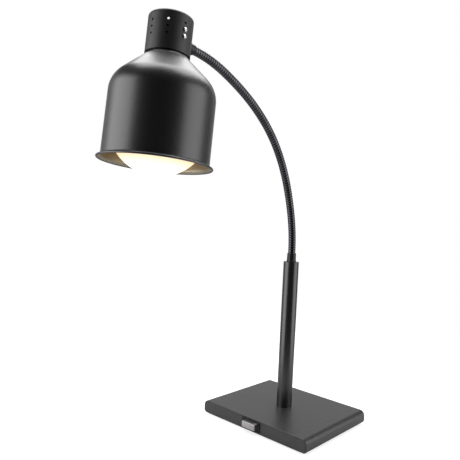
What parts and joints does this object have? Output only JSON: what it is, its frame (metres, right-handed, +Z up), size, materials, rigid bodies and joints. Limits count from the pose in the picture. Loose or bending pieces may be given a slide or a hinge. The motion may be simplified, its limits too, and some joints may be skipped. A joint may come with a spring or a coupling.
{
  "type": "food heat lamp",
  "caption": "Free-standing food heat lamp: weighted base with a rocker switch, upright pole, flexible ribbed gooseneck and a spun bell shade over a reflector bulb.",
  "frame": {"origin": "on the standing surface, under the middle of the base and the pole's axis", "axes": "+X to the right seen from the front, -Y to the front where the switch is and the gooseneck leans, +Z up"},
  "size_m": [0.246, 0.5488, 0.6879],
  "materials": {
    "black_sheet": "fine-textured satin powder coat",
    "black_spun": "satin black powder coat over spun aluminium",
    "cap_black": "fine-textured matt black powder coat",
    "pole_black": "satin black paint",
    "ferrule_black": "black oxide, semi-gloss",
    "hose_black": "black chrome, ribbed",
    "link_metal": "plain",
    "plain_steel": "zinc plated",
    "bright_steel": "polished",
    "rubber_black": "matt",
    "black_plastic": "semi-gloss",
    "clear_cover": "clear, flexible",
    "rocker_grey": "semi-gloss",
    "nylon_white": "natural nylon",
    "ceramic_white": "glazed ceramic",
    "brass_plain": "plain",
    "wire_brown": "sleeved",
    "wire_blue": "sleeved",
    "wire_green": "sleeved",
    "wire_white": "heat-proof sleeve",
    "bulb_white": "frosted reflector bulb",
    "tungsten": "wire"
  },
  "bodies": {
    "stand": {"base_cover": "black_sheet", "front_panel": "black_sheet", "back_panel": "black_sheet", "bottom_plate": "plain_steel", "ballast_plate": "plain_steel", "ballast_screws": "plain_steel", "cover_screws": "plain_steel", "rubber_feet": "rubber_black", "switch_body": "black_plastic", "switch_terminals": "brass_plain", "switch_cover": "clear_cover", "terminal_block": "nylon_white", "terminal_clamps": "brass_plain", "cable_gland": "black_plastic", "gland_cap": "black_plastic", "gland_nut": "black_plastic", "live_wires": "wire_brown", "neutral_wire": "wire_blue", "earth_wire": "wire_green", "earth_screw": "brass_plain", "pole": "pole_black", "pole_foot": "plain_steel", "pole_stiffener": "plain_steel", "pole_washer": "plain_steel", "pole_nut": "plain_steel", "pole_top_plug": "pole_black", "pole_cable": "wire_white", "lower_ferrule": "ferrule_black", "neck_hose_1": "hose_black", "neck_link_1": "link_metal"},
    "rocker": {"switch_rocker": "rocker_grey"},
    "neck_2": {"neck_hose_2": "hose_black", "neck_link_2": "link_metal"},
    "neck_3": {"neck_hose_3": "hose_black", "neck_link_3": "link_metal"},
    "neck_4": {"neck_hose_4": "hose_black", "neck_link_4": "link_metal"},
    "neck_5": {"neck_hose_5": "hose_black", "neck_link_5": "link_metal"},
    "neck_6": {"neck_hose_6": "hose_black", "neck_link_6": "link_metal"},
    "head": {"neck_hose_7": "hose_black", "neck_link_7": "link_metal", "upper_ferrule": "ferrule_black", "saddle_washer": "plain_steel", "ferrule_nut": "plain_steel", "cap": "cap_black", "holder_bracket": "plain_steel", "bracket_screws": "bright_steel", "lampholder": "ceramic_white", "holder_shell": "brass_plain", "holder_contact": "brass_plain", "holder_screws": "plain_steel", "head_wires": "wire_white", "shade": "black_spun", "shade_ring": "plain_steel", "bulb_glass": "bulb_white", "bulb_base": "brass_plain", "bulb_contact": "brass_plain", "bulb_filament": "tungsten"}
  },
  "joints": [
    {"name": "bend_1", "type": "hinge", "parent": "stand", "child": "neck_2", "pos_m": [0, -0.00753, 0.39907], "axis": [1, 0, 0], "range_deg": [-22, 22]},
    {"name": "side_1", "type": "hinge", "parent": "neck_2", "child": "neck_3", "pos_m": [0, -0.02755, 0.46257], "axis": [0, 0.9272, 0.3746], "range_deg": [-22, 22]},
    {"name": "bend_2", "type": "hinge", "parent": "neck_3", "child": "neck_4", "pos_m": [0, -0.05928, 0.52101], "axis": [1, 0, 0], "range_deg": [-22, 22]},
    {"name": "side_2", "type": "hinge", "parent": "neck_4", "child": "neck_5", "pos_m": [0, -0.10417, 0.57], "axis": [0, 0.6428, 0.766], "range_deg": [-22, 22]},
    {"name": "bend_3", "type": "hinge", "parent": "neck_5", "child": "neck_6", "pos_m": [0, -0.15901, 0.60769], "axis": [1, 0, 0], "range_deg": [-22, 22]},
    {"name": "side_3", "type": "hinge", "parent": "neck_6", "child": "head", "pos_m": [0, -0.21936, 0.63583], "axis": [0, 0.3584, 0.9336], "range_deg": [-22, 22]},
    {"name": "rocker_tilt", "type": "hinge", "parent": "stand", "child": "rocker", "pos_m": [0, -0.098, 0.015], "axis": [0, 0, 1], "range_deg": [-20, 0]}
  ]
}
